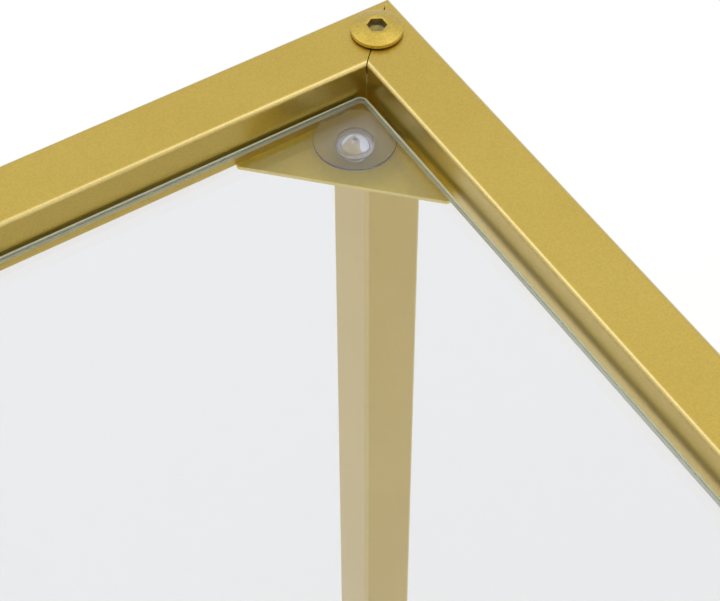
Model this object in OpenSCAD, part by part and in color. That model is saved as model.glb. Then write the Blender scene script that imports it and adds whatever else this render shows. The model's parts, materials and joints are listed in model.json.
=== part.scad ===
// Glass-topped vanity table on a square-tube steel frame, with a tilting mirror on two posts.
// The origin is the centre of the footprint on the floor: +X right, +Y to the back, +Z up.
// All lengths are in millimetres. Screw threads are plain cylinders.

/* [Table] */
// Width over the top rails
table_w = 1000; // [900:10:1200]
// Depth over the top rails
table_d = 450; // [400:10:600]
// Height of the top of the rails above the floor
table_h = 750; // [700:5:800]
// Height of the middle of the lower stretchers
stretcher_z = 130; // [80:5:250]

/* [Frame tube] */
// Side of the square tube
tube = 20; // [20:1:24]
// Wall thickness of the tube
tube_wall = 1.2; // [1:0.1:1.4]
// Radius of the tube's long outer edges
tube_edge_r = 1.5; // [1:0.1:2]
// Width of the open seam along each mitre
seam = 0.3; // [0.2:0.1:0.5]
// Distance from the outer faces of the rails to the axis of a corner bolt
bolt_inset = 10.7; // [10:0.1:12]

/* [Glass top] */
// Thickness of the glass top
glass_t = 4; // [4:0.5:8]
// Gap between the glass and each side rail
glass_gap_side = 0.8; // [0.6:0.2:3]
// Gap between the glass and the front and back rails
glass_gap_end = 1.8; // [1:0.2:5]
// Corner radius of the glass
glass_corner_r = 2.5; // [1:0.5:8]

/* [Gussets and cups] */
// Length of a gusset along each rail, from the inner corner
gusset_leg = 43.5; // [42:0.5:56]
// Thickness of a gusset
gusset_t = 1.2; // [1:0.1:2]
// Distance from a cup's axis to the inner face of the side rail
cup_inset_side = 13.2; // [12.2:0.1:14]
// Distance from a cup's axis to the inner face of the front or back rail
cup_inset_end = 12.2; // [12.2:0.1:14]
// Diameter of a cup's rim
cup_d = 23.8; // [20:0.1:24]
// Gap between gusset and glass that a cup fills
cup_h = 4.4; // [4:0.2:6]

/* [Mirror] */
// Width over the mirror frame
mirror_w = 500; // [400:10:600]
// Height over the mirror frame
mirror_h = 600; // [500:10:700]
// Gap between the rails and the bottom of the upright mirror
mirror_lift = 40; // [30:5:80]
// Depth of the mirror frame's section
mirror_frame_d = 20; // [20:1:24]
// Width of the frame's lip in front of the glass
mirror_lip = 12; // [10:1:20]
// Thickness of the mirror glass
mirror_glass_t = 4; // [3:0.5:4]
// Diameter of the tilt knobs
knob_d = 28; // [24:1:36]

/* [Hidden] */
$fn = 48;

// Colours
GOLD = [0.72, 0.63, 0.36];
STEEL = [0.70, 0.70, 0.68];
CLEAR = [0.85, 0.87, 0.88, 0.5];
GLASS = [0.80, 0.90, 0.88, 0.35];
BLACK = [0.12, 0.12, 0.12];
BOARD = [0.45, 0.38, 0.30];

// Sides and ends of the table
LEFT = -1;
RIGHT = 1;
FRONT = -1;
BACK = 1;

// Clearances
overrun = 1;            // how far a cutter runs past the face that it cuts
fit_gap = 0.1;          // between the diameters of a screw and its threaded hole
slide_gap = 0.3;        // between parts that move past each other
inside_gap = 0.2;       // between the sides of a plug and the bore of its tube

// Fasteners: the radius and height of a head are shares of the screw's diameter
frame_screw_d = 8;
light_screw_d = 6;
screw_hole_extra = 0.5;
head_r_share = 0.95;
head_h_share = 0.38;
light_head_h = light_screw_d * head_h_share;
frame_key = 5;
light_key = 4;

// Table frame
tube_bore = tube - 2 * tube_wall;
plug_side = tube_bore - inside_gap;
plug_len = 15;
bolt_offset = bolt_inset - tube / 2;
leg_x = (table_w - tube) / 2;
back_reach = max(tube + light_head_h, (tube + knob_d) / 2); // from the back rail to the bolts and knobs
front_y = -(table_d + back_reach) / 2;
back_y = front_y + table_d;
rail_low = table_h - tube;
span_w = table_w - 2 * tube;
span_d = table_d - 2 * tube;
centre_y = front_y + table_d / 2;

// Glass top and its cups
cup_neck_d = 8;
cup_button_d = 10.5;
gusset_hole_d = cup_neck_d + 0.6;
gusset_top = rail_low + gusset_t;
glass_low = gusset_top + cup_h;
glass_w = span_w - 2 * glass_gap_side;
glass_d = span_d - 2 * glass_gap_end;

// Levelling feet
pad_h = 6;
pad_d = 19;
insert_flange = 1.5;
insert_len = 16;
insert_ribs = 4;
leg_low = pad_h + slide_gap + insert_flange;
stud_low = 1.5;
stud_len = 26;

// Mirror frame, seen from its front face backwards
mirror_sheet = 1.5;
backing_t = 3;
bush_d = 10;
bush_len = 12;
bush_room = 0.75;
pivot_depth = mirror_sheet + mirror_glass_t + backing_t + bush_room + bush_d / 2;
panel_play = 1;
panel_w = mirror_w - 2 * (mirror_sheet + panel_play);
panel_h = mirror_h - 2 * (mirror_sheet + panel_play);

// Mirror posts and pivots
washer_t = 1.5;
washer_d = 18;
post_x = mirror_w / 2 + slide_gap + washer_t + tube / 2;
post_y = back_y + tube / 2;
pivot_z = table_h + mirror_lift + mirror_h / 2;
post_over_pivot = 25;
tab_h = 40;
tab_w = 30;
tab_t = 4;
tab_hole_drop = 25;
cap_t = 3;
cap_plug = 8;
post_low = rail_low - tab_h + cap_t;
post_high = pivot_z + post_over_pivot;
post_bolt_z = [table_h - tube / 2, rail_low - tab_hole_drop];
rivet_nut_d = 9;
rivet_nut_len = 12;
rivet_flange_d = 11;
rivet_flange_t = 0.5;
nut_t = 5;
knob_t = 14;
knob_socket = 10;
knob_screw_len = knob_socket + slide_gap + tube + slide_gap + washer_t + mirror_sheet + bush_len;

// ---------------------------------------------------------------- shared shapes

// A rectangle centred on the origin with round corners
module rounded_rect(size, r) {
    square([size.x - 2 * r, size.y], center = true);
    square([size.x, size.y - 2 * r], center = true);
    for (x = [-1, 1], y = [-1, 1])
        translate([x * (size.x / 2 - r), y * (size.y / 2 - r)]) circle(r = r);
}

// The tube's section
module tube_section() {
    difference() {
        rounded_rect([tube, tube], tube_edge_r);
        square(tube_bore, center = true);
    }
}

// A length of tube standing on the XY plane, centred on the Z axis
module tube_up(length) {
    linear_extrude(length) tube_section();
}

// Puts a shape made along Z so that it runs along X or along Y instead
module along_x() {
    rotate([0, 90, 0]) children();
}
module along_y() {
    rotate([-90, 0, 0]) children();
}

// Moves a shape to the axis of one leg, mirrored so that +X and +Y there point into the table
module at_leg(side, end) {
    translate([side * leg_x, end == FRONT ? front_y + tube / 2 : back_y - tube / 2, 0])
        mirror([side == RIGHT ? 1 : 0, 0, 0])
            mirror([0, end == BACK ? 1 : 0, 0])
                children();
}

// The section of a screw head: a ring under the head, an upright rim, and a cone with a flat top
function cone_h(share) = head_h_share - 0.34 * pow(share - 0.5, 1.1);
function head_outline(d) = let (rim = head_r_share * d) concat(
    [[0, 0], [0.62 * rim, 0], [0.62 * rim, 0.05 * d], [0.96 * rim, 0.05 * d]],
    [[rim, 0.08 * d], [rim, 0.21 * d]],
    [for (share = [0.94:-0.06:0.58]) [share * rim, d * cone_h(share)]],
    [[0.5 * rim, d * head_h_share], [0, d * head_h_share]]);

// A flanged hex-socket screw with its bearing face at z = 0 and its shank pointing down
module flanged_screw(d, length, key) {
    socket = 0.45 * d;
    difference() {
        union() {
            rotate_extrude() polygon(head_outline(d));
            translate([0, 0, -length]) cylinder(d = d - fit_gap, h = length + overrun);
        }
        translate([0, 0, d * head_h_share - socket])
            cylinder(d = key / cos(30), h = socket + overrun, $fn = 6);
    }
}

// ---------------------------------------------------------------- top frame

// A mitred rail along X: its outer face is on y = 0, its inner face on y = tube and its top on z = 0
module mitred_rail(length, corner_r) {
    reach = tube;
    cut = seam * sqrt(2) / 2;
    skin = 0.01;
    difference() {
        intersection() {
            translate([-length / 2, tube / 2, -tube / 2]) rotate([90, 0, 90]) tube_up(length);
            translate([0, 0, -2 * tube]) linear_extrude(3 * tube) polygon([
                [-length / 2 - reach + cut, -reach], [length / 2 + reach - cut, -reach],
                [length / 2 - tube - reach - cut, tube + reach],
                [-length / 2 + tube + reach + cut, tube + reach]]);
            translate([0, 2 * tube - skin, -2 * tube]) linear_extrude(3 * tube)
                rounded_rect([length + 2 * skin, 4 * tube], corner_r);
        }
        for (side = [LEFT, RIGHT])
            translate([side * (length / 2 - bolt_inset), bolt_inset, -tube - overrun])
                cylinder(d = frame_screw_d + screw_hole_extra, h = tube + 2 * overrun);
    }
}

module top_rail_front() {
    color(GOLD) translate([0, front_y, table_h]) mitred_rail(table_w, tube_edge_r);
}

module top_rail_back() {
    color(GOLD) difference() {
        translate([0, back_y, table_h]) rotate([0, 0, 180]) mitred_rail(table_w, tube_edge_r);
        for (side = [LEFT, RIGHT])
            translate([side * post_x, back_y - 2 * tube_wall, post_bolt_z[0]])
                along_y() cylinder(d = rivet_nut_d + fit_gap, h = 4 * tube_wall);
    }
}

module top_rail_side(side) {
    color(GOLD) translate([side * table_w / 2, centre_y, table_h])
        rotate([0, 0, side * 90]) mitred_rail(table_d, tube_edge_r);
}

// A triangular plate in the corner, flush with the underside of the rails
module gusset(side, end) {
    blunt = 1;
    inner = tube / 2;
    color(GOLD) at_leg(side, end) translate([inner, inner, rail_low]) difference() {
        linear_extrude(gusset_t) polygon([
            [0, 0], [gusset_leg, 0], [gusset_leg, blunt], [blunt, gusset_leg], [0, gusset_leg]]);
        translate([cup_inset_side, cup_inset_end, -overrun])
            cylinder(d = gusset_hole_d, h = gusset_t + 2 * overrun);
    }
}

// A clear cup: a thin dish against the glass, a boss on the gusset, and a button that holds it below
module suction_cup(side, end) {
    rim_r = cup_d / 2;
    rim_t = 0.7;
    boss_r = cup_button_d / 2;
    neck_r = cup_neck_d / 2;
    button_h = 3;
    clear = 0.05;
    low = -gusset_t - clear;
    axis = [tube / 2 + cup_inset_side, tube / 2 + cup_inset_end, gusset_top];
    color(CLEAR) at_leg(side, end)
        translate(axis) rotate_extrude() polygon([
            [0, low - button_h], [boss_r - 1.5, low - button_h], [boss_r, low - button_h + 1.2],
            [boss_r, low], [neck_r, low], [neck_r, clear], [boss_r, clear], [boss_r, 0.3 * cup_h],
            [0.55 * rim_r, 0.5 * cup_h], [0.8 * rim_r, 0.7 * cup_h],
            [rim_r, cup_h - rim_t], [rim_r, cup_h], [0.9 * rim_r, cup_h],
            [0.7 * rim_r, 0.9 * cup_h], [0.4 * rim_r, 0.75 * cup_h], [0, 0.7 * cup_h]]);
}

module glass_top() {
    color(GLASS) translate([0, centre_y, glass_low]) linear_extrude(glass_t)
        rounded_rect([glass_w, glass_d], glass_corner_r);
}

module corner_bolt(side, end) {
    color(GOLD) at_leg(side, end) translate([bolt_offset, bolt_offset, table_h])
        flanged_screw(frame_screw_d, tube + plug_len, frame_key);
}

// ---------------------------------------------------------------- legs and stretchers

// A leg; the back legs are drilled for the stretcher's screws
module leg(side, end) {
    color(GOLD) at_leg(side, end) difference() {
        translate([0, 0, leg_low]) tube_up(rail_low - leg_low);
        if (end == BACK)
            translate([-tube / 2 - overrun, 0, stretcher_z]) along_x()
                cylinder(d = light_screw_d + screw_hole_extra, h = tube + 2 * overrun);
    }
}

// A square block that fills the tube's bore, threaded along Z this far off its middle in X and Y
module threaded_block(length, screw_d, offset) {
    difference() {
        translate([-plug_side / 2, -plug_side / 2, 0]) cube([plug_side, plug_side, length]);
        translate([offset, offset, -overrun]) cylinder(d = screw_d, h = length + 2 * overrun);
    }
}

// Welded blocks in the tops of the legs, threaded for the corner bolts
module leg_top_plugs() {
    color(STEEL) for (side = [LEFT, RIGHT], end = [FRONT, BACK])
        at_leg(side, end) translate([0, 0, rail_low - plug_len])
            threaded_block(plug_len, frame_screw_d, bolt_offset);
}

module side_stretcher(side) {
    color(GOLD) translate([side * leg_x, front_y + tube, stretcher_z]) along_y() tube_up(span_d);
}

module back_stretcher() {
    color(GOLD) translate([-span_w / 2, back_y - tube / 2, stretcher_z]) along_x() tube_up(span_w);
}

// Welded blocks in the ends of the back stretcher, threaded for its screws
module stretcher_end_plugs() {
    color(STEEL) for (side = [LEFT, RIGHT])
        translate([side * span_w / 2, back_y - tube / 2, stretcher_z])
            rotate([0, -side * 90, 0]) threaded_block(plug_len, light_screw_d, 0);
}

module stretcher_bolts() {
    color(GOLD) for (side = [LEFT, RIGHT])
        translate([side * table_w / 2, back_y - tube / 2, stretcher_z])
            rotate([0, side * 90, 0]) flanged_screw(light_screw_d, tube + plug_len, light_key);
}

// ---------------------------------------------------------------- levelling feet

// A ribbed plastic insert in the end of a leg, threaded for the foot's stud
module foot_insert(side, end) {
    rib_t = 1.2;
    core_side = plug_side - 2;
    pitch = insert_len / insert_ribs;
    color(BLACK) at_leg(side, end) translate([0, 0, leg_low]) difference() {
        union() {
            translate([0, 0, -insert_flange]) linear_extrude(insert_flange)
                rounded_rect([tube, tube], tube_edge_r);
            translate([-core_side / 2, -core_side / 2, -insert_flange / 2])
                cube([core_side, core_side, insert_len + insert_flange / 2]);
            for (i = [1:insert_ribs])
                translate([-plug_side / 2, -plug_side / 2, i * pitch - rib_t])
                    cube([plug_side, plug_side, rib_t]);
        }
        translate([0, 0, -insert_flange - overrun])
            cylinder(d = frame_screw_d, h = insert_len + insert_flange + 2 * overrun);
    }
}

module foot_pad(side, end) {
    grips = 12;
    grip_r = 1.2;
    chamfer = 0.8;
    pad_r = pad_d / 2;
    color(BLACK) at_leg(side, end) difference() {
        rotate_extrude() polygon([
            [0, 0], [pad_r - chamfer, 0], [pad_r, chamfer], [pad_r, pad_h - chamfer],
            [pad_r - chamfer, pad_h], [0, pad_h]]);
        for (i = [0:grips - 1])
            rotate([0, 0, (i + 0.5) * 360 / grips]) translate([pad_r + grip_r / 2, 0, 2])
                cylinder(r = grip_r, h = pad_h);
        translate([0, 0, stud_low]) cylinder(d = frame_screw_d, h = pad_h);
    }
}

module foot_stud(side, end) {
    color(STEEL) at_leg(side, end) translate([0, 0, stud_low])
        cylinder(d = frame_screw_d - fit_gap, h = stud_len);
}

// ---------------------------------------------------------------- mirror posts

// Plates under the back rail that take the lower screw of each post
module post_tabs() {
    color(GOLD) for (side = [LEFT, RIGHT])
        translate([side * post_x, back_y, rail_low]) difference() {
            translate([-tab_w / 2, -tab_t, -tab_h]) cube([tab_w, tab_t, tab_h]);
            translate([0, -tab_t - overrun, -tab_hole_drop]) along_y()
                cylinder(d = light_screw_d + screw_hole_extra, h = tab_t + 2 * overrun);
        }
}

module tab_weld_nuts() {
    across_flats = 10;
    color(STEEL) for (side = [LEFT, RIGHT])
        translate([side * post_x, back_y - tab_t - nut_t, post_bolt_z[1]]) along_y() difference() {
            cylinder(d = across_flats / cos(30), h = nut_t, $fn = 6);
            translate([0, 0, -overrun]) cylinder(d = light_screw_d, h = nut_t + 2 * overrun);
        }
}

// Threaded inserts in the back rail; their flanges stand in the wide front holes of the posts
module post_rivet_nuts() {
    color(STEEL) for (side = [LEFT, RIGHT])
        translate([side * post_x, back_y, post_bolt_z[0]]) along_y() difference() {
            union() {
                translate([0, 0, -rivet_nut_len])
                    cylinder(d = rivet_nut_d, h = rivet_nut_len + rivet_flange_t);
                cylinder(d = rivet_flange_d, h = rivet_flange_t);
            }
            translate([0, 0, -rivet_nut_len - overrun])
                cylinder(d = light_screw_d, h = rivet_nut_len + rivet_flange_t + 2 * overrun);
        }
}

// A post behind the back rail, with holes for its two screws and for the pivot
module mirror_post(side) {
    hole_d = light_screw_d + screw_hole_extra;
    color(GOLD) translate([side * post_x, post_y, 0]) difference() {
        translate([0, 0, post_low]) tube_up(post_high - post_low);
        for (z = post_bolt_z)
            translate([0, -tube / 2 - overrun, z]) along_y() cylinder(d = hole_d, h = tube + 2 * overrun);
        translate([0, -tube / 2 - overrun, post_bolt_z[0]]) along_y()
            cylinder(d = rivet_flange_d + screw_hole_extra, h = tube_wall + 2 * overrun);
        translate([-tube / 2 - overrun, 0, pivot_z]) along_x() cylinder(d = hole_d, h = tube + 2 * overrun);
    }
}

// Plastic caps that close both ends of both posts
module post_end_caps() {
    color(BLACK) for (side = [LEFT, RIGHT], up = [0, 1])
        translate([side * post_x, post_y, up == 1 ? post_high : post_low])
            mirror([0, 0, 1 - up]) {
                linear_extrude(cap_t) rounded_rect([tube, tube], tube_edge_r);
                translate([-plug_side / 2, -plug_side / 2, -cap_plug])
                    cube([plug_side, plug_side, cap_plug + cap_t / 2]);
            }
}

module post_bolts() {
    color(GOLD) for (side = [LEFT, RIGHT], z = post_bolt_z)
        translate([side * post_x, back_y + tube, z]) along_y()
            flanged_screw(light_screw_d, tube + rivet_nut_len, light_key);
}

// ---------------------------------------------------------------- mirror

// A mitred L-section along X: its outer side is on z = 0, rising to the lip's edge, its front on y = 0
module mirror_rail(length) {
    reach = mirror_lip;
    cut = seam * sqrt(2) / 2;
    edge_r = 0.7;
    intersection() {
        translate([-length / 2, 0, 0]) rotate([90, 0, 90]) linear_extrude(length) difference() {
            translate([mirror_frame_d / 2, mirror_lip / 2])
                rounded_rect([mirror_frame_d, mirror_lip], edge_r);
            translate([mirror_sheet, mirror_sheet]) square([mirror_frame_d, mirror_lip]);
        }
        translate([0, mirror_frame_d + overrun, 0]) rotate([90, 0, 0])
            linear_extrude(mirror_frame_d + 2 * overrun) polygon([
                [-length / 2 - reach + cut, -reach], [length / 2 + reach - cut, -reach],
                [length / 2 - 2 * reach - cut, 2 * reach], [-length / 2 + 2 * reach + cut, 2 * reach]]);
    }
}

// Turns a rail made for the bottom of the mirror to one of its four sides: 0 bottom, 1 right, 2 top, 3 left
module at_mirror_side(turn) {
    reach = turn % 2 == 0 ? mirror_h / 2 : mirror_w / 2;
    translate([0, post_y - pivot_depth, pivot_z]) rotate([0, -90 * turn, 0])
        translate([0, 0, -reach]) children();
}

module mirror_frame_bottom() {
    color(GOLD) at_mirror_side(0) mirror_rail(mirror_w);
}

module mirror_frame_top() {
    color(GOLD) at_mirror_side(2) mirror_rail(mirror_w);
}

// An upright rail of the mirror frame, drilled for the pivot screw
module mirror_frame_side(side) {
    color(GOLD) at_mirror_side(side == RIGHT ? 1 : 3) difference() {
        mirror_rail(mirror_h);
        translate([0, pivot_depth, -overrun])
            cylinder(d = light_screw_d + screw_hole_extra, h = mirror_sheet + 2 * overrun);
    }
}

// A flat panel in the mirror frame, with its front face this far behind the frame's front
module mirror_panel(depth, thickness) {
    translate([-panel_w / 2, post_y - pivot_depth + depth, pivot_z - panel_h / 2])
        cube([panel_w, thickness, panel_h]);
}

module mirror_glass() {
    color(CLEAR) mirror_panel(mirror_sheet, mirror_glass_t);
}

module mirror_backing() {
    color(BOARD) mirror_panel(mirror_sheet + mirror_glass_t, backing_t);
}

// Bent steel clips on the frame that press on the back of the backing board, two on each side
module mirror_clips() {
    clip_w = 14;
    clip_t = 1;
    clip_up = 9;
    finger = 12;
    depth = mirror_sheet + mirror_glass_t + backing_t;
    color(STEEL) for (turn = [0:3], along = [-1, 1]) {
        quarter = (turn % 2 == 0 ? mirror_w : mirror_h) / 4;
        at_mirror_side(turn) translate([along * quarter - clip_w / 2, depth, mirror_sheet]) {
            cube([clip_w, clip_up, clip_t]);
            cube([clip_w, clip_t, finger]);
        }
    }
}

// Threaded collars welded inside the upright rails, on the pivot axis
module pivot_bushes() {
    color(STEEL) for (side = [LEFT, RIGHT])
        translate([side * (mirror_w / 2 - mirror_sheet), post_y, pivot_z])
            rotate([0, -side * 90, 0]) difference() {
                cylinder(d = bush_d, h = bush_len);
                translate([0, 0, -overrun]) cylinder(d = light_screw_d, h = bush_len + 2 * overrun);
            }
}

// Nylon washers between the posts and the mirror frame
module pivot_washers() {
    color(BLACK) for (side = [LEFT, RIGHT])
        translate([side * (mirror_w / 2 + slide_gap), post_y, pivot_z])
            rotate([0, side * 90, 0]) difference() {
                cylinder(d = washer_d, h = washer_t);
                translate([0, 0, -overrun])
                    cylinder(d = light_screw_d + screw_hole_extra, h = washer_t + 2 * overrun);
            }
}

// ---------------------------------------------------------------- tilt knobs

// Moves a shape to the outer face of a post, with +Z pointing away from the mirror
module at_knob(side) {
    translate([side * (post_x + tube / 2 + slide_gap), post_y, pivot_z]) rotate([0, side * 90, 0])
        children();
}

// A scalloped hand knob with a short hub against the post
module tilt_knob(side) {
    scallops = 10;
    scallop_r = 2.4;
    hub_r = 8;
    hub_t = 2;
    rim = 1.5;
    knob_r = knob_d / 2;
    color(GOLD) at_knob(side) difference() {
        rotate_extrude() polygon([
            [0, 0], [hub_r, 0], [hub_r, hub_t], [knob_r - rim, hub_t], [knob_r, hub_t + rim],
            [knob_r, knob_t - rim], [knob_r - rim, knob_t], [0, knob_t]]);
        for (i = [0:scallops - 1])
            rotate([0, 0, i * 360 / scallops]) translate([knob_r + scallop_r / 2, 0, hub_t - overrun])
                cylinder(r = scallop_r, h = knob_t + overrun);
        translate([0, 0, -overrun]) cylinder(d = light_screw_d, h = knob_socket + overrun);
    }
}

module knob_screw(side) {
    color(STEEL) at_knob(side) translate([0, 0, knob_socket - knob_screw_len])
        cylinder(d = light_screw_d - fit_gap, h = knob_screw_len);
}

// ---------------------------------------------------------------- assembly

top_rail_front();
top_rail_back();
top_rail_side(LEFT);  // top_rail_left
top_rail_side(RIGHT);  // top_rail_right
gusset(LEFT, FRONT);  // gusset_front_left
gusset(RIGHT, FRONT);  // gusset_front_right
gusset(LEFT, BACK);  // gusset_back_left
gusset(RIGHT, BACK);  // gusset_back_right
suction_cup(LEFT, FRONT);  // suction_cup_front_left
suction_cup(RIGHT, FRONT);  // suction_cup_front_right
suction_cup(LEFT, BACK);  // suction_cup_back_left
suction_cup(RIGHT, BACK);  // suction_cup_back_right
glass_top();
corner_bolt(LEFT, FRONT);  // corner_bolt_front_left
corner_bolt(RIGHT, FRONT);  // corner_bolt_front_right
corner_bolt(LEFT, BACK);  // corner_bolt_back_left
corner_bolt(RIGHT, BACK);  // corner_bolt_back_right
leg(LEFT, FRONT);  // leg_front_left
leg(RIGHT, FRONT);  // leg_front_right
leg(LEFT, BACK);  // leg_back_left
leg(RIGHT, BACK);  // leg_back_right
leg_top_plugs();
side_stretcher(LEFT);  // side_stretcher_left
side_stretcher(RIGHT);  // side_stretcher_right
back_stretcher();
stretcher_end_plugs();
stretcher_bolts();
foot_insert(LEFT, FRONT);  // foot_insert_front_left
foot_insert(RIGHT, FRONT);  // foot_insert_front_right
foot_insert(LEFT, BACK);  // foot_insert_back_left
foot_insert(RIGHT, BACK);  // foot_insert_back_right
foot_pad(LEFT, FRONT);  // foot_pad_front_left
foot_pad(RIGHT, FRONT);  // foot_pad_front_right
foot_pad(LEFT, BACK);  // foot_pad_back_left
foot_pad(RIGHT, BACK);  // foot_pad_back_right
foot_stud(LEFT, FRONT);  // foot_stud_front_left
foot_stud(RIGHT, FRONT);  // foot_stud_front_right
foot_stud(LEFT, BACK);  // foot_stud_back_left
foot_stud(RIGHT, BACK);  // foot_stud_back_right
post_tabs();
tab_weld_nuts();
post_rivet_nuts();
mirror_post(LEFT);  // mirror_post_left
mirror_post(RIGHT);  // mirror_post_right
post_end_caps();
post_bolts();
mirror_frame_top();
mirror_frame_bottom();
mirror_frame_side(LEFT);  // mirror_frame_left
mirror_frame_side(RIGHT);  // mirror_frame_right
mirror_glass();
mirror_backing();
mirror_clips();
pivot_bushes();
pivot_washers();
knob_screw(LEFT);  // knob_screw_left
knob_screw(RIGHT);  // knob_screw_right
tilt_knob(LEFT);  // tilt_knob_left
tilt_knob(RIGHT);  // tilt_knob_right
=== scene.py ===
"""The looks of a glass-topped vanity table.

It has a frame of gold powder-coated tube, a clear glass top on clear cups, and a tilting mirror.

Everything is in metres in the part's own frame: +X right, +Y to the back, +Z up, with the feet on z = 0.
"""

import json
import math
import random

import bmesh
import bpy
from mathutils import Matrix, Vector, noise


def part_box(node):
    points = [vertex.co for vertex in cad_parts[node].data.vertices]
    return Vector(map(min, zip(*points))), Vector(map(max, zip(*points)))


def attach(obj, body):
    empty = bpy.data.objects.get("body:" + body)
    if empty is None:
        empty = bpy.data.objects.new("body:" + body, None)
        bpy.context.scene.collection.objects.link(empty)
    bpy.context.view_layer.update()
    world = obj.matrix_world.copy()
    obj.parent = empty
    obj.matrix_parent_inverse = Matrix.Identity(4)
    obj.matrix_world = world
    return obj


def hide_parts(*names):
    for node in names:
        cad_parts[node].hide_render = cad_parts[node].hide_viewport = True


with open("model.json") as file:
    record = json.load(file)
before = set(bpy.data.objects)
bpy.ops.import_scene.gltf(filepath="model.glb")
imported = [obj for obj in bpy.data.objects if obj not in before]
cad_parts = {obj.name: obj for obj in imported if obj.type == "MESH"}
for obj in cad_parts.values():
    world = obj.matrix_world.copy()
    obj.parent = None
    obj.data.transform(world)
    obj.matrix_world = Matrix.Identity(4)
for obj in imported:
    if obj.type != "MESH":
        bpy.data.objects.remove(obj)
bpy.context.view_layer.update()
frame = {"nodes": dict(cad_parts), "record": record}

BODY = "table_frame"
CORNERS = ("front_left", "front_right", "back_left", "back_right")
SIDES = ("left", "right")
MM = 0.001

# ---------------------------------------------------------------- sizes read from the frame

rail_low, rail_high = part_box("top_rail_back")
left_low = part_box("top_rail_left")[0]
front_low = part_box("top_rail_front")[0]
TUBE = rail_high.z - rail_low.z
TABLE_TOP = rail_high.z
CORNER = Vector((left_low.x, rail_high.y, TABLE_TOP))  # outer corner of the rails, back left
glass_low, glass_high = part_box("glass_top")


# ---------------------------------------------------------------- node materials


class Nodes:
    """A short way to write a node tree: each call makes one node and returns its output."""

    def __init__(self, name):
        self.material = bpy.data.materials.new(name)
        self.material.use_nodes = True
        self.tree = self.material.node_tree
        self.tree.nodes.clear()
        self.shader = self.tree.nodes.new("ShaderNodeBsdfPrincipled")
        self.output = self.tree.nodes.new("ShaderNodeOutputMaterial")
        self.tree.links.new(self.shader.outputs[0], self.output.inputs[0])
        where = self.tree.nodes.new("ShaderNodeTexCoord")
        self.place = where.outputs["Object"]
        self.normal = where.outputs["Normal"]

    def plug(self, value, socket):
        if isinstance(value, bpy.types.NodeSocket):
            self.tree.links.new(value, socket)
        else:
            socket.default_value = value

    def node(self, kind, inputs=None, **settings):
        made = self.tree.nodes.new(kind)
        for key, value in settings.items():
            setattr(made, key, value)
        for key, value in (inputs or {}).items():
            self.plug(value, made.inputs[key])
        return made

    def noise(self, scale, detail=2.0, roughness=0.5, stretch=None):
        place = self.place
        if stretch is not None:
            place = self.node("ShaderNodeMapping", {"Vector": place, "Scale": stretch}).outputs[0]
        inputs = {"Vector": place, "Scale": scale, "Detail": detail, "Roughness": roughness}
        return self.node("ShaderNodeTexNoise", inputs).outputs["Fac"]

    def cells(self, scale):
        return self.node("ShaderNodeTexVoronoi", {"Vector": self.place, "Scale": scale}).outputs["Color"]

    def mark(self):
        """The share that a piece's own mesh marks at each point, from 0 to 1."""
        return self.node("ShaderNodeAttribute", attribute_name="mark").outputs["Fac"]

    def rounded(self):
        """1 where the surface turns between X, Y and Z, as on a rounded edge, and 0 on flat faces."""
        parts = self.node("ShaderNodeSeparateXYZ", {0: self.normal}).outputs
        largest = 0.0
        for part in parts:
            largest = self.math("MAXIMUM", self.math("ABSOLUTE", part), largest)
        return self.remap(largest, 0.995, 0.9)

    def grey(self, colour):
        return self.node("ShaderNodeRGBToBW", {"Color": colour}).outputs[0]

    def remap(self, value, low, high, to_low=0.0, to_high=1.0):
        inputs = {"Value": value, "From Min": low, "From Max": high, "To Min": to_low, "To Max": to_high}
        return self.node("ShaderNodeMapRange", inputs).outputs[0]

    def math(self, kind, a, b=0.0):
        return self.node("ShaderNodeMath", {0: a, 1: b}, operation=kind).outputs[0]

    def mix(self, factor, first, second):
        made = self.node("ShaderNodeMix", data_type="RGBA")
        self.plug(factor, made.inputs["Factor"])
        self.plug(first, made.inputs[6])
        self.plug(second, made.inputs[7])
        return made.outputs[2]

    def bump(self, height, depth, strength=1.0, under=None):
        inputs = {"Height": height, "Distance": depth, "Strength": strength}
        if under is not None:
            inputs["Normal"] = under
        return self.node("ShaderNodeBump", inputs).outputs[0]

    def set(self, **values):
        for key, value in values.items():
            self.plug(value, self.shader.inputs[key.replace("_", " ")])
        return self.material


def colour(red, green, blue):
    """A linear colour from its 0 to 255 display values."""
    def linear(value):
        share = value / 255
        return share / 12.92 if share <= 0.04045 else ((share + 0.055) / 1.055) ** 2.4
    return (linear(red), linear(green), linear(blue), 1.0)


PAINTED_RIDGE_HIGHLIGHT_GOLD = colour(222, 206, 150)  # painted highlight: a paler gold over the tubes' rounded edges, for their bright ridges
SOCKET_STEEL_AND_SHADE = colour(134, 126, 84)  # the inside of a socket: bare steel with some of the coat on it, painted darker as shade in the recess


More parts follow.
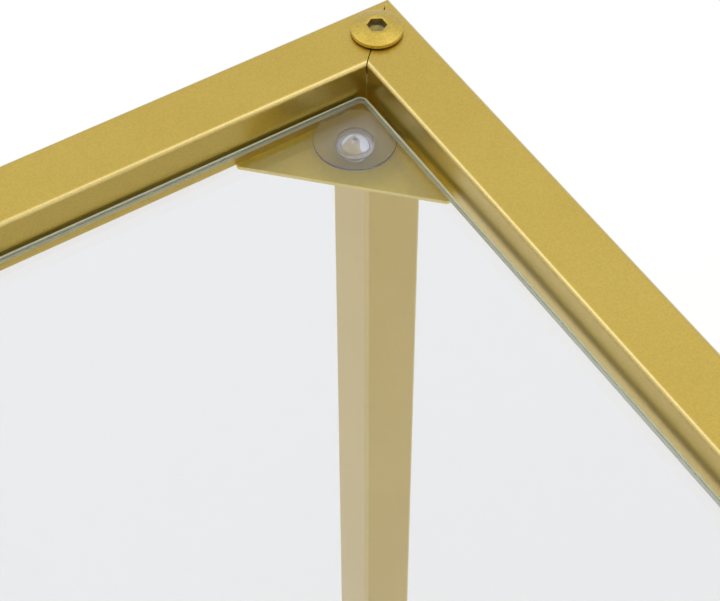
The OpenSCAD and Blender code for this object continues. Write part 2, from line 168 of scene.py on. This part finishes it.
def gold_coat(name, warm, pale, roughness, metallic=0.92, coat=0.75, flake=0.32 * MM,
              speckle=0.065, bare=False):
    """Metallic powder coat: fine flakes, a faint orange peel and slow changes of tone.

    Flake is the size of a flake, and speckle is how much the flakes differ in brightness.
    Rounded edges are painted paler, as a painted highlight. With bare they aren't, and the coat
    wears off at the marked points, such as the inside of a socket, whose darker colour there
    is also painted shade.
    """
    made = Nodes(name)
    flakes = made.grey(made.cells(1 / flake))
    tone = made.noise(26.0, 3.0, 0.55)
    grains = made.noise(2600.0, 2.0, 0.6)
    base = made.mix(made.remap(tone, 0.35, 0.65, 0.25, 0.75), warm, pale)
    if not bare:
        # painted highlight: rounded edges take half of the paler ridge gold
        base = made.mix(made.math("MULTIPLY", made.rounded(), 0.5), base, PAINTED_RIDGE_HIGHLIGHT_GOLD)
    bright = made.remap(flakes, 0.25, 0.75, 1 - speckle, 1 + speckle)
    base = made.node("ShaderNodeVectorMath", {0: base, 1: bright}, operation="MULTIPLY").outputs[0]
    rough = made.remap(grains, 0.3, 0.7, roughness - 0.03, roughness + 0.04)
    if bare:
        mark = made.mark()
        patches = made.remap(made.noise(700.0, 3.0, 0.6), 0.3, 0.6, 0.5, 1.0)
        patchy = made.math("MULTIPLY", mark, patches)
        # the marked socket shows bare steel, and its darker colour is painted shade in the recess
        base = made.mix(patchy, base, SOCKET_STEEL_AND_SHADE)
        rough = made.math("MAXIMUM", rough, made.math("MULTIPLY", patchy, 0.5))
    peel = made.bump(made.noise(800.0, 2.0, 0.5), 0.03 * MM, 0.09)
    grain = made.bump(flakes, 0.05 * flake, 4 * speckle, under=peel)
    return made.set(
        Base_Color=base, Metallic=metallic, Roughness=rough, Normal=grain,
        Coat_Weight=coat, Coat_Roughness=0.28, Coat_IOR=1.6
    )


def clear_glass():
    """Clear float glass with finely ground edges, which let less light through.

    The mark is 0 on the arris, where the ground glass is pale and is also painted as a
    highlight for the bright line along the edge, and 1 on the grey-green edge below it.
    Object normals tell the ground edges from the flat faces.
    """
    clear = (1.0, 1.0, 1.0, 1.0)
    # partly a painted highlight: the pale arris stands in for the bright line that light makes along the
    # glass's edge
    ground_arris_and_highlight = (0.86, 0.93, 0.78, 1.0)
    green_edge = (0.50, 0.60, 0.43, 1.0)
    made = Nodes("clear_glass")
    facing_up = made.node("ShaderNodeSeparateXYZ", {0: made.normal}).outputs["Z"]
    edge = made.remap(made.math("ABSOLUTE", facing_up), 0.98, 0.94)
    grind = made.remap(made.noise(1800.0, 2.0, 0.6), 0.3, 0.7, 0.38, 0.42)
    rough = made.math("MULTIPLY", edge, grind)
    ground = made.mix(made.mark(), ground_arris_and_highlight, green_edge)
    shade = made.mix(edge, clear, ground)
    ground_through = made.remap(made.mark(), 0.0, 1.0, 0.35, 0.45)
    through = made.remap(edge, 0.0, 1.0, 1.0, ground_through)
    tint = made.node("ShaderNodeVolumeAbsorption")
    tint.inputs["Color"].default_value = (0.08, 0.12, 0.20, 1.0)
    tint.inputs["Density"].default_value = 48.0
    made.tree.links.new(tint.outputs[0], made.output.inputs["Volume"])
    return made.set(Base_Color=shade, Roughness=rough, IOR=1.52, Transmission_Weight=through)


def clear_vinyl():
    """Soft clear vinyl with a faint tint and a slightly uneven surface.

    The mark is the share of a cloudier, more violet tint, as in the thick boss.
    """
    made = Nodes("clear_vinyl")
    skin = made.bump(made.noise(500.0, 2.0, 0.5), 0.03 * MM, 0.3)
    cloud = made.remap(made.noise(240.0, 3.0, 0.5), 0.3, 0.7, 0.03, 0.1)
    shade = made.mix(made.noise(90.0, 2.0, 0.5), (0.90, 0.89, 0.93, 1.0), (0.95, 0.94, 0.97, 1.0))
    shade = made.mix(made.mark(), shade, (0.76, 0.78, 0.92, 1.0))
    through = made.remap(made.mark(), 0.0, 1.0, 0.97, 0.8)
    return made.set(
        Base_Color=shade, Roughness=cloud, IOR=1.48, Transmission_Weight=through, Normal=skin
    )


def silvered_mirror():
    """Mirror glass: a clean silver reflection with faint smears."""
    made = Nodes("silvered_mirror")
    smears = made.remap(made.noise(9.0, 4.0, 0.6), 0.5, 0.85, 0.004, 0.03)
    shade = made.mix(made.noise(5.0, 2.0, 0.5), (0.90, 0.93, 0.92, 1.0), (0.93, 0.95, 0.945, 1.0))
    return made.set(Base_Color=shade, Metallic=1.0, Roughness=smears)


def hardboard():
    """Brown pressed fibre board."""
    made = Nodes("hardboard")
    fibres = made.noise(420.0, 6.0, 0.7, stretch=(1.0, 1.0, 0.35))
    specks = made.grey(made.cells(900.0))
    shade = made.mix(made.remap(fibres, 0.3, 0.7), colour(96, 68, 44), colour(138, 104, 70))
    shade = made.mix(made.remap(specks, 0.7, 0.9, 0.0, 0.35), shade, colour(60, 42, 28))
    return made.set(Base_Color=shade, Roughness=0.82, Normal=made.bump(fibres, 0.15 * MM, 0.6))


def black_plastic():
    """Moulded black plastic with a fine spark-eroded grain."""
    made = Nodes("black_plastic")
    grain = made.noise(2400.0, 3.0, 0.6)
    wear = made.noise(60.0, 3.0, 0.6)
    shade = made.mix(made.remap(wear, 0.4, 0.75), colour(27, 27, 28), colour(44, 44, 46))
    rough = made.remap(wear, 0.3, 0.7, 0.46, 0.6)
    return made.set(Base_Color=shade, Roughness=rough, Normal=made.bump(grain, 0.05 * MM, 0.6))


def zinc_steel():
    """Zinc-plated steel with a faint spangle and turning marks."""
    made = Nodes("zinc_steel")
    spangle = made.grey(made.cells(380.0))
    lines = made.noise(300.0, 2.0, 0.5, stretch=(1.0, 1.0, 12.0))
    shade = made.mix(made.remap(spangle, 0.2, 0.8), colour(158, 160, 160), colour(196, 196, 192))
    rough = made.remap(spangle, 0.2, 0.8, 0.28, 0.4)
    turned = made.bump(lines, 0.03 * MM, 0.4)
    return made.set(Base_Color=shade, Metallic=1.0, Roughness=rough, Normal=turned)


TUBE_GOLD = (colour(189, 160, 54), colour(196, 169, 66))
SCREW_GOLD = (colour(190, 160, 46), colour(198, 170, 60))
# painted light: the gussets' gold is far brighter than the tubes', standing in for the light that falls
# on them under the glass
GUSSET_PAINTED_LIGHT_GOLD = (colour(244, 216, 72), colour(250, 224, 86))

MATERIALS = {
    "frame_gold": gold_coat("frame_gold", *TUBE_GOLD, 0.33),
    "bolt_gold": gold_coat("bolt_gold", *SCREW_GOLD, 0.40, flake=0.4 * MM, speckle=0.12, bare=True),
    "knob_gold": gold_coat("knob_gold", *TUBE_GOLD, 0.33),
    "clear_glass": clear_glass(),
    "clear_cup": clear_vinyl(),
    "mirror_glass": silvered_mirror(),
    "backing_board": hardboard(),
    "black_plastic": black_plastic(),
    "steel": zinc_steel(),
}

GUSSET_PAINTED_LIGHT_COAT = gold_coat("gusset_painted_light_gold", *GUSSET_PAINTED_LIGHT_GOLD, 0.45, metallic=0.45, coat=0.5)


def dress_cad_nodes():
    """Gives every CAD node the material of its slot; the gussets' coat is duller than the tubes'
    and painted much brighter, as painted light on them under the glass.
    """
    for part in frame["record"]["subparts"]:
        name = part["node"]
        node = frame["nodes"][name]
        node.data.materials.clear()
        finish = GUSSET_PAINTED_LIGHT_COAT if name.startswith("gusset") else MATERIALS[part["material_slot"]]
        node.data.materials.append(finish)


# Radius of the edges of the moulded, pressed and turned parts, by the start of the node's name
SOFT_EDGES = {
    "tilt_knob": 0.5 * MM,
    "foot_pad": 0.6 * MM,
    "foot_insert": 0.3 * MM,
    "post_end_caps": 0.4 * MM,
    "post_tabs": 0.25 * MM,
    "tab_weld_nuts": 0.3 * MM,
    "mirror_clips": 0.2 * MM,
    "mirror_backing": 0.3 * MM,
    "pivot_washers": 0.3 * MM,
    "pivot_bushes": 0.3 * MM,
}


def soften_edges():
    """Rounds the sharp edges of the small parts, after their loose faces are joined."""
    for name, node in frame["nodes"].items():
        for start, radius in SOFT_EDGES.items():
            if not name.startswith(start):
                continue
            node.modifiers.new("join", "WELD").merge_threshold = 0.001 * MM
            bevel = node.modifiers.new("round", "BEVEL")
            bevel.width = radius
            bevel.segments = 3
            bevel.limit_method = "ANGLE"
            bevel.angle_limit = math.radians(40)
            bevel.harden_normals = True


# ---------------------------------------------------------------- meshes


class Shape:
    """Collects points and faces of one piece; its matrix puts them in the part's frame."""

    def __init__(self):
        self.points = []
        self.faces = []
        self.marks = []
        self.mark = 0.0  # the share given to the next points, for the material to read
        self.place = Matrix.Identity(4)

    def ring(self, points):
        """Adds a closed loop of points and returns their numbers."""
        first = len(self.points)
        self.points.extend(self.place @ Vector(point) for point in points)
        self.marks.extend(self.mark for _ in points)
        return list(range(first, len(self.points)))

    def band(self, lower, upper):
        """Joins two loops of the same length with four-sided faces."""
        count = len(lower)
        for i in range(count):
            j = (i + 1) % count
            self.faces.append((lower[i], lower[j], upper[j], upper[i]))

    def tube(self, loops):
        """Joins loops in turn and closes both ends with flat faces."""
        for lower, upper in zip(loops, loops[1:]):
            self.band(lower, upper)
        self.faces.append(tuple(loops[0][::-1]))
        self.faces.append(tuple(loops[-1]))

    def fan(self, loop, tip):
        """Closes a loop with triangles to one point, tip."""
        centre = self.ring([tip])[0]
        for i, number in enumerate(loop):
            self.faces.append((number, loop[(i + 1) % len(loop)], centre))

    def lathe(self, stretches, segments):
        """Turns an outline of (radius, height) about the local Z axis; it starts and ends on the axis.

        The outline comes in stretches, each with the mark that its points carry.
        """
        loops = []
        for mark, outline in stretches:
            self.mark = mark
            for radius, height in outline:
                if radius:
                    loops.append(self.ring(circle(radius, height, segments)))
        self.fan(loops[0], (0, 0, stretches[0][1][0][1]))
        for lower, upper in zip(loops, loops[1:]):
            self.band(lower, upper)
        self.fan(loops[-1], (0, 0, stretches[-1][1][-1][1]))

    def piece(self, name, slot, body=BODY, sharp_angle=38.0):
        """Makes the mesh object, smooth but for its sharp edges, and lets it ride on a body."""
        mesh = bpy.data.meshes.new(name)
        mesh.from_pydata([tuple(point) for point in self.points], [], self.faces)
        mesh.attributes.new("mark", "FLOAT", "POINT").data.foreach_set("value", self.marks)
        mesh.materials.append(MATERIALS[slot])
        made = bpy.data.objects.new(name, mesh)
        bpy.context.scene.collection.objects.link(made)
        shape = bmesh.new()
        shape.from_mesh(mesh)
        bmesh.ops.remove_doubles(shape, verts=shape.verts, dist=0.001 * MM)
        bmesh.ops.recalc_face_normals(shape, faces=shape.faces)
        limit = math.radians(sharp_angle)
        for face in shape.faces:
            face.smooth = True
        for edge in shape.edges:
            edge.smooth = edge.calc_face_angle(math.pi) < limit
        shape.to_mesh(mesh)
        shape.free()
        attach(made, body)
        return made


def circle(radius, height, segments):
    turn = 2 * math.pi / segments
    spread = [i * turn for i in range(segments)]
    return [(radius * math.cos(a), radius * math.sin(a), height) for a in spread]


def arc(centre, radius, start, end, steps):
    """Points of a round stretch of an outline, from one angle in degrees to another."""
    spread = [math.radians(start + (end - start) * i / steps) for i in range(steps + 1)]
    return [(centre[0] + radius * math.cos(a), centre[1] + radius * math.sin(a)) for a in spread]


def above(low, high, height):
    """The point at a height over the middle of a box's footprint."""
    return Vector(((low.x + high.x) / 2, (low.y + high.y) / 2, height))


def facing(place, direction):
    """A matrix that puts the local origin at place and the local Z axis along direction."""
    turn = Vector(direction).to_track_quat("Z", "Y").to_matrix().to_4x4()
    return Matrix.Translation(place) @ turn


# ---------------------------------------------------------------- screws


RIM = 0.95  # radius of a screw's rim, for a thread of size 1
HEAD = 0.38  # height of a screw's head, for a thread of size 1


def hexagon(across, height, segments, grow):
    """A hexagon with one corner on +X, with as many points as a circle that it joins.

    Across is its size over the flats, and grow moves every point outwards.
    """
    points = []
    for i in range(segments):
        angle = 2 * math.pi * i / segments
        off = (angle + math.pi / 6) % (math.pi / 3) - math.pi / 6
        apothem_angle = math.pi / 6 - abs(off)
        radius = across / 2 / math.cos(apothem_angle) + grow
        points.append((radius * math.cos(angle), radius * math.sin(angle), height))
    return points


def add_screw(shape, size, key, length):
    """A flanged screw: an upright rim with rolled edges, a low dome, and a chamfered hex socket.

    Its seat is at the local origin and its head points along +Z. Key is the size across the
    flats of the socket, which carries the mark.
    """
    segments = 96
    rim = RIM * size
    top = HEAD * size
    neck = size / 2 - 0.05 * MM
    tip_bevel = 0.7 * MM
    seat_r = 0.62 * rim
    relief = 0.05 * size  # height of the rim's underside over the seat
    shoulder = 0.21 * size  # height where the rim turns into the dome
    roll = 0.035 * size
    outline = [(neck - tip_bevel, -length), (neck, -length + tip_bevel), (neck, 0), (seat_r, 0)]
    outline += [(seat_r, relief), (0.94 * rim, relief)]
    outline += arc((rim - roll, relief + roll), roll, -60, 0, 3)
    outline += arc((rim - roll, shoulder - roll / 2), roll, 0, 70, 4)
    for share in (0.94, 0.88, 0.82, 0.75, 0.68, 0.62, 0.56, 0.5):
        outline.append((share * rim, top - 0.34 * size * (share - 0.5) ** 1.1))
    loops = [shape.ring(circle(radius, height, segments)) for radius, height in outline]
    shape.faces.append(tuple(loops[0][::-1]))
    for mark, drop, grow in (
            (0.0, 0.0, 0.3 * MM), (0.0, 0.12 * MM, 0.1 * MM),
            (1.0, 0.35 * MM, 0.0), (1.0, 0.33 * size, 0.0)):
        shape.mark = mark
        loops.append(shape.ring(hexagon(key, top - drop, segments, grow)))
    loops.append(shape.ring(circle(0.42 * key, top - 0.35 * size, segments)))
    for lower, upper in zip(loops, loops[1:]):
        shape.band(lower, upper)
    shape.fan(loops[-1], (0, 0, top - 0.45 * size))
    shape.mark = 0.0


def screws(name, node, heads, size, key, length):
    """One piece with all the screws of a CAD node; heads gives each one's seat and direction."""
    shape = Shape()
    for seat, direction in heads:
        shape.place = facing(seat, direction)
        add_screw(shape, size, key, length)
    made = shape.piece(name, "bolt_gold")
    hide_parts(node)


def make_screws():
    """The corner bolts, and the lighter screws of the posts and the back stretcher."""
    thread, key = 8 * MM, 5 * MM
    for corner in CORNERS:
        node = "corner_bolt_" + corner
        low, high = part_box(node)
        seat = above(low, high, TABLE_TOP)
        screws("bolt_" + corner, node, [(seat, (0, 0, 1))], thread, key, TABLE_TOP - low.z)
    thread, key = 6 * MM, 4 * MM
    head_r = RIM * thread
    low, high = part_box("post_bolts")
    seat_y = high.y - HEAD * thread
    columns = (low.x + head_r, high.x - head_r)
    rows = (low.z + head_r, high.z - head_r)
    spots = [(x, z) for x in columns for z in rows]
    heads = [((x, seat_y, z), (0, 1, 0)) for x, z in spots]
    screws("post_screws", "post_bolts", heads, thread, key, seat_y - low.y)
    low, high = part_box("stretcher_bolts")
    seat_x = high.x - HEAD * thread
    middle = ((low.y + high.y) / 2, (low.z + high.z) / 2)
    heads = [((side * seat_x, *middle), (side, 0, 0)) for side in (-1, 1)]
    stretcher_screw_length = 35 * MM
    screws("stretcher_screws", "stretcher_bolts", heads, thread, key, stretcher_screw_length)


def make_stud(corner):
    """The threaded stud of a levelling foot, with a bevel at both ends."""
    low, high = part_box("foot_stud_" + corner)
    crest, pitch, depth = (high.x - low.x) / 2, 1.25 * MM, 0.6 * MM
    length = high.z - low.z
    segments, steps = 40, 8
    count = round(length / pitch * steps)
    shape = Shape()
    shape.place = Matrix.Translation(above(low, high, low.z))
    loops = []
    for i in range(count + 1):
        height = length * i / count
        end = min(height, length - height)
        loop = []
        for k in range(segments):
            turn = k / segments
            flank = abs((height / pitch - turn) % 1.0 - 0.5) * 2  # 1 at a crest and 0 at a root
            radius = min(crest - depth * (1 - flank), crest - depth + end)
            angle = 2 * math.pi * turn
            loop.append((radius * math.cos(angle), radius * math.sin(angle), height))
        loops.append(shape.ring(loop))
    shape.tube(loops)
    made = shape.piece("threaded_stud_" + corner, "steel", body="foot_" + corner, sharp_angle=30.0)
    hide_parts("foot_stud_" + corner)


# ---------------------------------------------------------------- glass top and cups


def make_glass():
    """The glass plate, with rounded corners and a ground arris along each long edge."""
    shape = Shape()
    corner_r, arris, arris_depth, steps = 2.5 * MM, 0.9 * MM, 0.45 * MM, 10

    def outline(inset, height):
        """The plate's outline at a height, moved in by inset."""
        points = []
        for quarter in range(4):
            angle = math.radians(90 * quarter)
            right, back = (quarter in (0, 3)), (quarter in (0, 1))
            x = glass_high.x - corner_r if right else glass_low.x + corner_r
            y = glass_high.y - corner_r if back else glass_low.y + corner_r
            radius = corner_r - inset
            for i in range(steps + 1):
                a = angle + math.pi / 2 * i / steps
                points.append((x + radius * math.cos(a), y + radius * math.sin(a), height))
        return points

    loops = []
    blend = 0.04 * MM  # width of the change from the pale arris to the edge
    for mark, inset, height in (
            (0.0, arris, glass_low.z), (0.0, blend, glass_low.z + arris_depth - blend / 2),
            (1.0, 0, glass_low.z + arris_depth), (1.0, 0, glass_high.z - arris_depth),
            (0.0, blend, glass_high.z - arris_depth + blend / 2), (0.0, arris, glass_high.z)):
        shape.mark = mark
        loops.append(shape.ring(outline(inset, height)))
    shape.tube(loops)
    made = shape.piece("glass_plate", "clear_glass", sharp_angle=20.0)
    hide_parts("glass_top")


def make_cup(corner):
    """A clear cup: a thin dish against the glass, a boss on the gusset and a button under it.

    The outlines are (radius, height) over the gusset, from the bottom up and back to the axis.
    """
    low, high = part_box("suction_cup_" + corner)
    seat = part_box("gusset_" + corner)[1].z
    rise = (high.z - seat) - 0.05 * MM
    under = low.z - seat
    rim = (high.x - low.x) / 2
    boss, neck = 5.25 * MM, 3.95 * MM
    lip = 0.35 * MM
    shape = Shape()
    shape.place = Matrix.Translation(above(low, high, seat))
    button = [(0, under), (1.6 * MM, under + 0.12 * MM), (3.0 * MM, under + 0.5 * MM)]
    button += [(4.2 * MM, under + 1.1 * MM), (5.0 * MM, under + 1.9 * MM)]
    button += [(boss, -1.6 * MM), (boss - 0.2 * MM, -1.27 * MM)]
    waist = [(neck, -1.25 * MM), (neck, 0.05 * MM)]
    waist += [(boss - 0.9 * MM, 0.05 * MM), (boss - 0.7 * MM, 0.4 * MM), (boss - 0.1 * MM, 0.5 * rise)]
    dish = [(boss + 0.3 * MM, 0.6 * rise), (0.6 * rim, 0.68 * rise), (0.78 * rim, 0.76 * rise)]
    dish += [(0.92 * rim, 0.84 * rise)]
    dish += arc((rim - lip, rise - lip), lip, -40, 90, 6)
    dish += [(0.9 * rim, rise - 0.02 * MM), (0.7 * rim, 0.96 * rise), (boss + 0.4 * MM, 0.92 * rise)]
    pit = [(boss, 0.9 * rise), (boss - 0.2 * MM, 0.7 * rise), (boss - 0.9 * MM, 0.62 * rise)]
    pit += [(boss - 1.7 * MM, 0.62 * rise), (boss - 2.1 * MM, 0.72 * rise), (1.6 * MM, 0.82 * rise)]
    pit += [(0.9 * MM, 0.82 * rise), (0.6 * MM, 0.77 * rise), (0, 0.75 * rise)]
    shape.lathe(((1.0, button + waist), (0.0, dish), (0.35, pit)), 96)
    made = shape.piece("cup_" + corner, "clear_cup", sharp_angle=50.0)
    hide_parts("suction_cup_" + corner)


# ---------------------------------------------------------------- welds


def add_bead(shape, start, along, out, up, length, width, seed):
    """An uneven fillet weld in the corner between two faces, under the powder coat.

    It runs along one direction and its section reaches from out to up. Its back is sunk
    a little into both faces.
    """
    rng = random.Random(seed)
    shift = rng.uniform(0, 100)
    step = 0.8 * MM
    sunk = 0.2 * MM
    ripple_rate, swell_rate = 0.55, 0.13
    count = round(length / step)
    across = 7
    loops = []
    for i in range(count + 1):
        share = i / count
        end = min(1.0, 6 * share, 6 * (1 - share)) ** 0.5
        ripple = noise.noise((shift + i * ripple_rate, 0.0, 0.0))
        swell = noise.noise((shift + i * swell_rate, 7.0, 0.0))
        reach = width * end * (1 + 0.30 * swell + 0.16 * ripple)
        rise = 0.62 * width * end * (1 + 0.22 * swell + 0.2 * ripple)
        base = start + along * (share * length)
        loop = []
        for k in range(across):
            angle = math.pi / 2 * k / (across - 1)
            bulge = 1 - 0.22 * math.sin(2 * angle)
            sideways = out * (reach * math.cos(angle) * bulge)
            loop.append(base + sideways + up * (rise * math.sin(angle) * bulge))
        loop.append(base - out * sunk - up * sunk)
        loops.append(shape.ring(loop))
    shape.tube(loops)


def inward(corner):
    """The directions along X and Y from a corner of the table to its middle."""
    end, side = corner.split("_")
    along_x = Vector((1, 0, 0)) if side == "left" else Vector((-1, 0, 0))
    along_y = Vector((0, -1, 0)) if end == "back" else Vector((0, 1, 0))
    return along_x, along_y


def make_gusset_welds(corner):
    """Two beads under a gusset, one along each rail."""
    low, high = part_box("gusset_" + corner)
    along_x, along_y = inward(corner)
    inner = Vector((low.x if along_x.x > 0 else high.x, low.y if along_y.y > 0 else high.y, low.z))
    down = Vector((0, 0, -1))
    margin, overlap, width = 3 * MM, 0.6 * MM, 1.8 * MM
    length = high.x - low.x - 2 * margin
    shape = Shape()
    seed = CORNERS.index(corner)
    for turn, (along, out) in enumerate(((along_y, along_x), (along_x, along_y))):
        start = inner + along * margin - out * overlap
        add_bead(shape, start, along, out, down, length, width, 10 * turn + seed)
    shape.piece("gusset_weld_" + corner, "frame_gold", sharp_angle=60.0)


def make_stretcher_welds(side):
    """Beads over and under both ends of a side stretcher, where it meets the legs."""
    low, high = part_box("side_stretcher_" + side)
    up = Vector((0, 0, 1))
    across = Vector((1, 0, 0))
    back = Vector((0, 1, 0))
    margin, width = 2.5 * MM, 2.0 * MM
    length = TUBE - 2 * margin
    shape = Shape()
    for end, inwards in ((low.y, back), (high.y, -back)):
        for height, rise in ((high.z, up), (low.z, -up)):
            start = Vector((low.x + margin, end, height))
            seed = len(shape.points)
            add_bead(shape, start, across, inwards, rise, length, width, seed)
    shape.piece("stretcher_weld_" + side, "frame_gold", sharp_angle=60.0)


def make_mitre_weld(corner):
    """The ground weld in a mitre, which leaves an open crack near the bolt and over the ridge.

    It lies in the upright diagonal plane of the corner, as one strip down the outside and one
    down the inside.
    """
    along_x, along_y = inward(corner)
    tip_x = left_low.x if along_x.x > 0 else -left_low.x
    tip_y = rail_high.y if along_y.y < 0 else front_low.y
    tip = Vector((tip_x, tip_y, TABLE_TOP))
    diagonal = (along_x + along_y).normalized()
    across = diagonal.cross(Vector((0, 0, 1)))
    edge_r, depth, half, proud = 1.5 * MM, 0.8 * MM, 0.16 * MM, 0.02 * MM
    first_reach = 2.1 * MM  # how far the outer strip comes in over the top
    raised = 6  # how many of its stations stand proud of the top as well
    nearest = (math.sqrt(2) - 1) * edge_r  # where the rounded upright edge is on the diagonal
    outer = [(first_reach, 0.0)] + arc((edge_r, -edge_r), edge_r, 90, 180, 8) + [(0.0, -TUBE)]
    shape = Shape()

    def strip(stations):
        """Joins stations, each an outer point and an inner point on the diagonal plane."""
        loops = []
        for near, far in stations:
            loops.append(shape.ring([
                tip + diagonal * reach + Vector((0, 0, height)) + across * (sign * half)
                for (reach, height), sign in ((near, -1), (near, 1), (far, 1), (far, -1))]))
        shape.tube(loops)

    stations = []
    for index, (reach, height) in enumerate(outer):
        out = max(math.sqrt(2) * reach, nearest)
        near = (out - proud, height + (proud if index < raised else 0.0))
        far = (out + depth, min(height, -depth))
        stations.append((near, far))
    strip(stations)
    inner = math.sqrt(2) * TUBE
    inner_proud = 0.03 * MM
    heights = (-4.2 * MM, -11 * MM, -18.6 * MM)
    strip([((inner + inner_proud, height), (inner - depth, height)) for height in heights])
    shape.piece("mitre_weld_" + corner, "frame_gold", sharp_angle=40.0)


# ---------------------------------------------------------------- stage, lights and camera


def make_floor():
    """A plain pale floor."""
    made = Nodes("floor")
    tone = made.noise(1.5, 2.0, 0.5)
    shade = made.mix(tone, (0.86, 0.86, 0.86, 1.0), (0.88, 0.88, 0.88, 1.0))
    made.set(Base_Color=shade, Roughness=0.9, Specular_IOR_Level=0.0)
    mesh = bpy.data.meshes.new("floor")
    reach = 60.0
    points = [(-reach, -reach, 0), (reach, -reach, 0), (reach, reach, 0), (-reach, reach, 0)]
    mesh.from_pydata(points, [], [(0, 1, 2, 3)])
    mesh.materials.append(made.material)
    floor = bpy.data.objects.new("floor", mesh)
    bpy.context.scene.collection.objects.link(floor)


def make_world():
    """Soft white studio light from all round, brighter overhead and from the front right."""
    world = bpy.data.worlds.new("studio")
    bpy.context.scene.world = world
    world.use_nodes = True
    tree = world.node_tree
    back = tree.nodes["Background"]
    place = tree.nodes.new("ShaderNodeTexCoord").outputs["Generated"]

    def along(direction, low, high, to_low, to_high):
        """Light that changes smoothly from one end of a direction to the other."""
        share = tree.nodes.new("ShaderNodeVectorMath")
        share.operation = "DOT_PRODUCT"
        tree.links.new(place, share.inputs[0])
        share.inputs[1].default_value = direction
        ramp = tree.nodes.new("ShaderNodeMapRange")
        ramp.interpolation_type = "SMOOTHSTEP"
        limits = {"From Min": low, "From Max": high, "To Min": to_low, "To Max": to_high}
        for socket, value in limits.items():
            ramp.inputs[socket].default_value = value
        tree.links.new(share.outputs["Value"], ramp.inputs["Value"])
        return ramp.outputs[0]

    overhead = (0.0, 0.0, 1.0)
    front_right = (0.85, -0.53, 0.0)
    total = tree.nodes.new("ShaderNodeMath")
    total.operation = "ADD"
    tree.links.new(along(overhead, 0.0, 1.0, 0.85, 1.15), total.inputs[0])
    tree.links.new(along(front_right, -0.8, 0.8, -0.12, 0.22), total.inputs[1])
    tree.links.new(total.outputs[0], back.inputs["Strength"])
    back.inputs["Color"].default_value = (1.0, 1.0, 1.0, 1.0)


def make_lamp(name, place, aim, size, power):
    """A square soft box at place that points at aim."""
    data = bpy.data.lights.new(name, "AREA")
    data.shape = "SQUARE"
    data.size = size
    data.energy = power
    lamp = bpy.data.objects.new(name, data)
    lamp.location = place
    lamp.rotation_euler = (Vector(aim) - Vector(place)).to_track_quat("-Z", "Y").to_euler()
    bpy.context.scene.collection.objects.link(lamp)


def make_camera():
    """A close view down on the back left corner, from over the middle of the table."""
    azimuth, elevation, roll = math.radians(58.06), math.radians(50.54), math.radians(-0.21)
    offset = Vector((380.7, -247.4, 412.4)) * MM
    data = bpy.data.cameras.new("camera")
    data.sensor_width = 36.0
    data.lens = 104.2
    data.clip_start = 0.01
    data.clip_end = 200.0
    camera = bpy.data.objects.new("camera", data)
    turn = Matrix.Rotation(azimuth, 4, "Z") @ Matrix.Rotation(math.pi / 2 - elevation, 4, "X")
    camera.matrix_world = Matrix.Translation(CORNER + offset) @ turn @ Matrix.Rotation(roll, 4, "Z")
    bpy.context.scene.collection.objects.link(camera)
    bpy.context.scene.camera = camera


dress_cad_nodes()
soften_edges()
make_screws()
make_glass()
for corner in CORNERS:
    make_cup(corner)
    make_stud(corner)
    make_gusset_welds(corner)
    make_mitre_weld(corner)
for side in SIDES:
    make_stretcher_welds(side)
make_floor()
make_world()
on_the_glass = (-0.2, 0.1, 0.75)
make_lamp("key", place=(0.1, 1.5, 3.1), aim=on_the_glass, size=1.8, power=7.0)
make_lamp("fill", place=(-1.8, -1.1, 2.95), aim=on_the_glass, size=1.4, power=6.0)
make_camera()
bpy.context.scene.view_settings.view_transform = "Standard"
